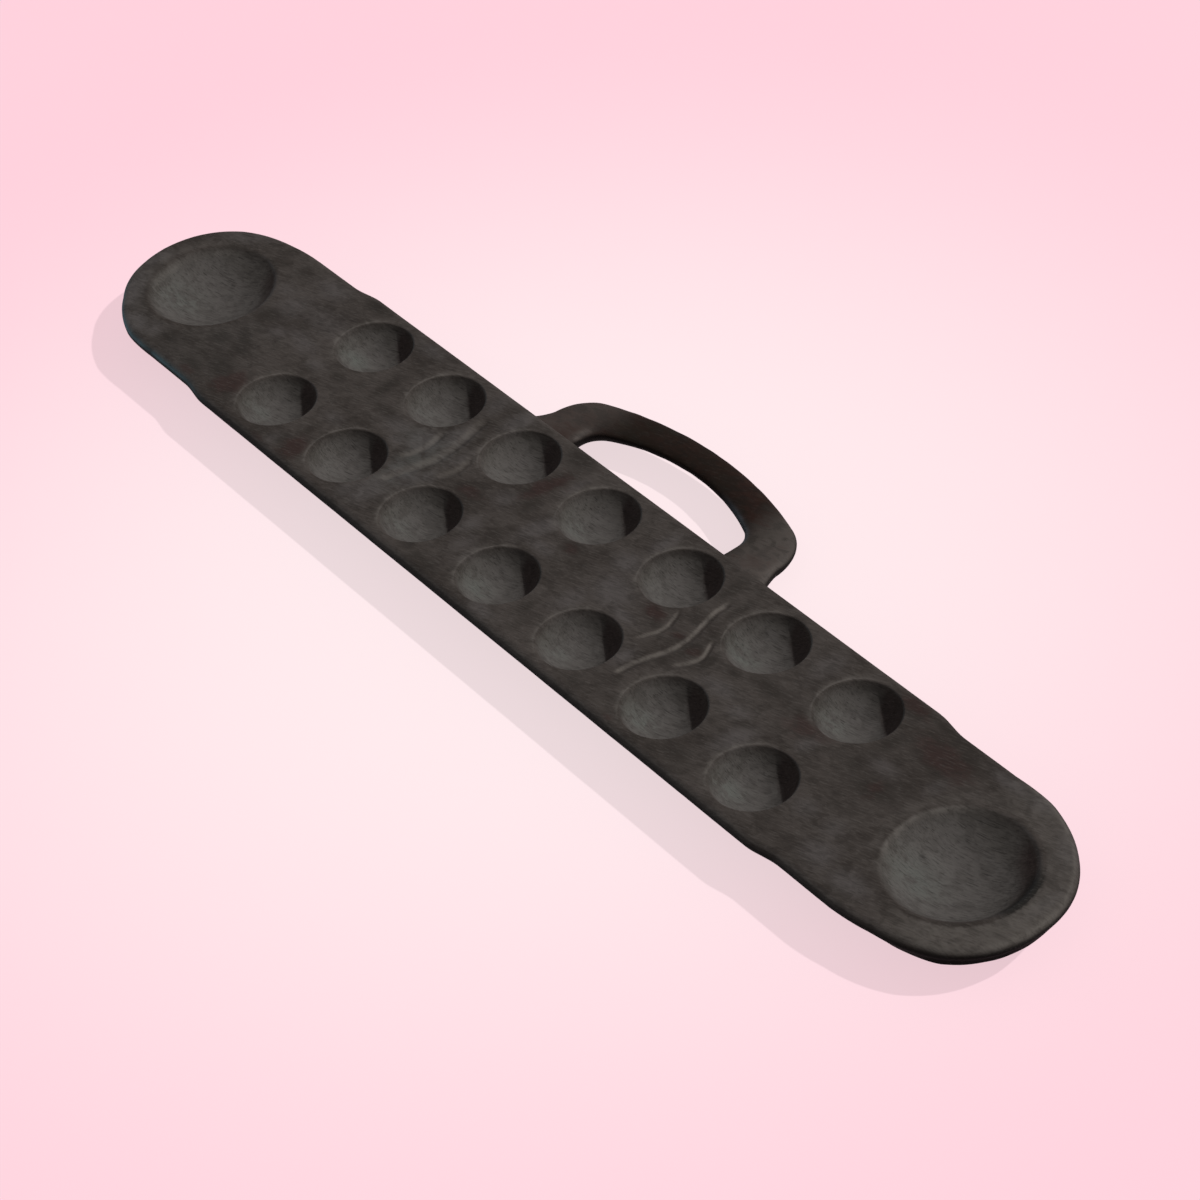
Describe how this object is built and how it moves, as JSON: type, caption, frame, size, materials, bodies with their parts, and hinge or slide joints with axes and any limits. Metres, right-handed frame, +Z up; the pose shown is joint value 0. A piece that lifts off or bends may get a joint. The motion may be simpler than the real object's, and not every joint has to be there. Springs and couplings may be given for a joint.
{
  "type": "sungka board",
  "caption": "Long wooden mancala board with rows of carved houses, a head at each rounded end, undercut flanks and a dowelled bow handle on one long edge.",
  "frame": {"origin": "middle of the flat underside of the board", "axes": "+X along the board to the right-hand head, +Y to the handle, +Z up out of the houses"},
  "size_m": [0.828, 0.1986, 0.028],
  "materials": {
    "board_wood": "dark stained, worn satin",
    "handle_wood": "dark reddish brown, worn satin",
    "dowel_wood": "raw pale wood"
  },
  "bodies": {
    "root": {"board": "board_wood", "handle": "handle_wood", "dowel_left_outer": "dowel_wood", "dowel_left_inner": "dowel_wood", "dowel_right_inner": "dowel_wood", "dowel_right_outer": "dowel_wood"}
  },
  "joints": []
}
